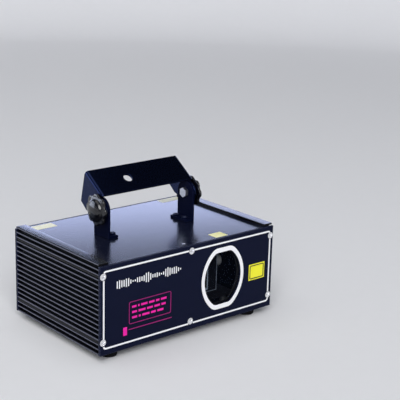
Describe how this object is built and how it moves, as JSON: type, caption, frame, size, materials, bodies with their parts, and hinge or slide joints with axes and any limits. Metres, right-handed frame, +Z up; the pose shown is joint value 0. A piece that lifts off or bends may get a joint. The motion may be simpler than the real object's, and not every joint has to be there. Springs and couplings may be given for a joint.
{
  "type": "laser show projector",
  "caption": "Finned laser show projector with a round-sided front window, a tilting yoke between clamp knobs, rubber feet, a fan and rear sockets.",
  "frame": {"origin": "on the floor under the feet, under the middle of the overall box", "axes": "+X to the right seen from the front, +Y from the front panel to the back, +Z up"},
  "size_m": [0.24, 0.1694, 0.1736],
  "materials": {
    "case_black": "satin black ribbed extrusion",
    "sheet_dark": "smooth dark lacquer",
    "panel_navy": "satin very dark blue",
    "yoke_paint": "satin dark lacquer",
    "bright_steel": "bright zinc plated",
    "guard_wire": "black lacquer",
    "knob_black": "glossy black",
    "foot_rubber": "matt black",
    "fibre": "red brown fibre",
    "window_pane": "clear polished",
    "black_plastic": "fine matt black",
    "rocker_red": "glossy red",
    "bare_aluminium": "machined",
    "motor_steel": "ground",
    "scan_mirror": "polished",
    "brass": "turned",
    "board_green": "green solder mask",
    "display_dark": "smoked glossy"
  },
  "bodies": {
    "housing": {"bottom_plate": "sheet_dark", "clamp_washers": "bright_steel", "combiner_glass": "window_pane", "combiner_post": "bare_aluminium", "control_board": "board_green", "dial_potentiometer": "motor_steel", "fan_frame": "black_plastic", "fan_guard": "guard_wire", "fan_screws": "bright_steel", "fibre_washers": "fibre", "foot_front_left": "foot_rubber", "foot_front_right": "foot_rubber", "foot_rear_left": "foot_rubber", "foot_rear_right": "foot_rubber", "foot_screws": "bright_steel", "front_panel": "panel_navy", "green_laser": "bare_aluminium", "inlet_blades": "brass", "menu_board": "board_green", "menu_display": "display_dark", "optical_bench": "bare_aluminium", "panel_screws": "bright_steel", "panel_ties": "bare_aluminium", "pivot_bolt_left": "bright_steel", "pivot_bolt_right": "bright_steel", "power_board": "board_green", "power_inlet": "black_plastic", "power_switch": "black_plastic", "rear_panel": "panel_navy", "red_laser": "brass", "red_laser_saddle": "bare_aluminium", "scanner_block": "bare_aluminium", "sheet_screws": "bright_steel", "side_extrusion_left": "case_black", "side_extrusion_right": "case_black", "signal_in_socket": "black_plastic", "signal_out_socket": "black_plastic", "signal_pins": "brass", "stand_offs": "bare_aluminium", "top_cover": "sheet_dark", "window_glass": "window_pane", "window_retainer": "black_plastic", "x_scanner_motor": "motor_steel", "y_scanner_motor": "motor_steel", "yoke_foot_left": "yoke_paint", "yoke_foot_right": "yoke_paint", "yoke_foot_screws": "bright_steel"},
    "yoke": {"yoke": "yoke_paint"},
    "left_knob": {"clamp_knob_left": "knob_black"},
    "right_knob": {"clamp_knob_right": "knob_black"},
    "x_mirror_shaft": {"x_mirror": "scan_mirror"},
    "y_mirror_shaft": {"y_mirror": "scan_mirror"},
    "fan": {"fan_rotor": "black_plastic"},
    "rocker": {"switch_rocker": "rocker_red"},
    "drawer": {"fuse_drawer": "black_plastic"},
    "dial": {"sensitivity_dial": "black_plastic"},
    "button_1": {"menu_button_1": "black_plastic"},
    "button_2": {"menu_button_2": "black_plastic"},
    "button_3": {"menu_button_3": "black_plastic"},
    "button_4": {"menu_button_4": "black_plastic"}
  },
  "joints": [
    {"name": "yoke_tilt", "type": "hinge", "parent": "housing", "child": "yoke", "pos_m": [0, -0.0032, 0.136], "axis": [1, 0, 0], "range_deg": [-50, 80]},
    {"name": "left_knob_turn", "type": "hinge", "parent": "housing", "child": "left_knob", "pos_m": [-0.0645, -0.0032, 0.136], "axis": [-1, 0, 0], "continuous": true},
    {"name": "right_knob_turn", "type": "hinge", "parent": "housing", "child": "right_knob", "pos_m": [0.0645, -0.0032, 0.136], "axis": [1, 0, 0], "continuous": true},
    {"name": "x_mirror_scan", "type": "hinge", "parent": "housing", "child": "x_mirror_shaft", "pos_m": [0.046, -0.0267, 0.046], "axis": [0, 1, 0], "range_deg": [-15, 15], "stiffness_Nm_per_rad": 0.002},
    {"name": "y_mirror_scan", "type": "hinge", "parent": "housing", "child": "y_mirror_shaft", "pos_m": [0.056, -0.0367, 0.06], "axis": [1, 0, 0], "range_deg": [-15, 15], "stiffness_Nm_per_rad": 0.002},
    {"name": "fan_spin", "type": "hinge", "parent": "housing", "child": "fan", "pos_m": [0.068, 0.0578, 0.047], "axis": [0, 1, 0], "continuous": true},
    {"name": "rocker_tip", "type": "hinge", "parent": "housing", "child": "rocker", "pos_m": [-0.089, 0.0753, 0.069], "axis": [1, 0, 0], "range_deg": [-12, 12]},
    {"name": "drawer_pull", "type": "slide", "parent": "housing", "child": "drawer", "axis": [0, 1, 0], "range_m": [0, 0.016]},
    {"name": "dial_turn", "type": "hinge", "parent": "housing", "child": "dial", "pos_m": [-0.0115, 0.0753, 0.081], "axis": [0, 1, 0], "range_deg": [-140, 140]},
    {"name": "button_1_press", "type": "slide", "parent": "housing", "child": "button_1", "axis": [0, -1, 0], "range_m": [0, 0.0006], "stiffness_N_per_m": 300},
    {"name": "button_2_press", "type": "slide", "parent": "housing", "child": "button_2", "axis": [0, -1, 0], "range_m": [0, 0.0006], "stiffness_N_per_m": 300},
    {"name": "button_3_press", "type": "slide", "parent": "housing", "child": "button_3", "axis": [0, -1, 0], "range_m": [0, 0.0006], "stiffness_N_per_m": 300},
    {"name": "button_4_press", "type": "slide", "parent": "housing", "child": "button_4", "axis": [0, -1, 0], "range_m": [0, 0.0006], "stiffness_N_per_m": 300}
  ]
}
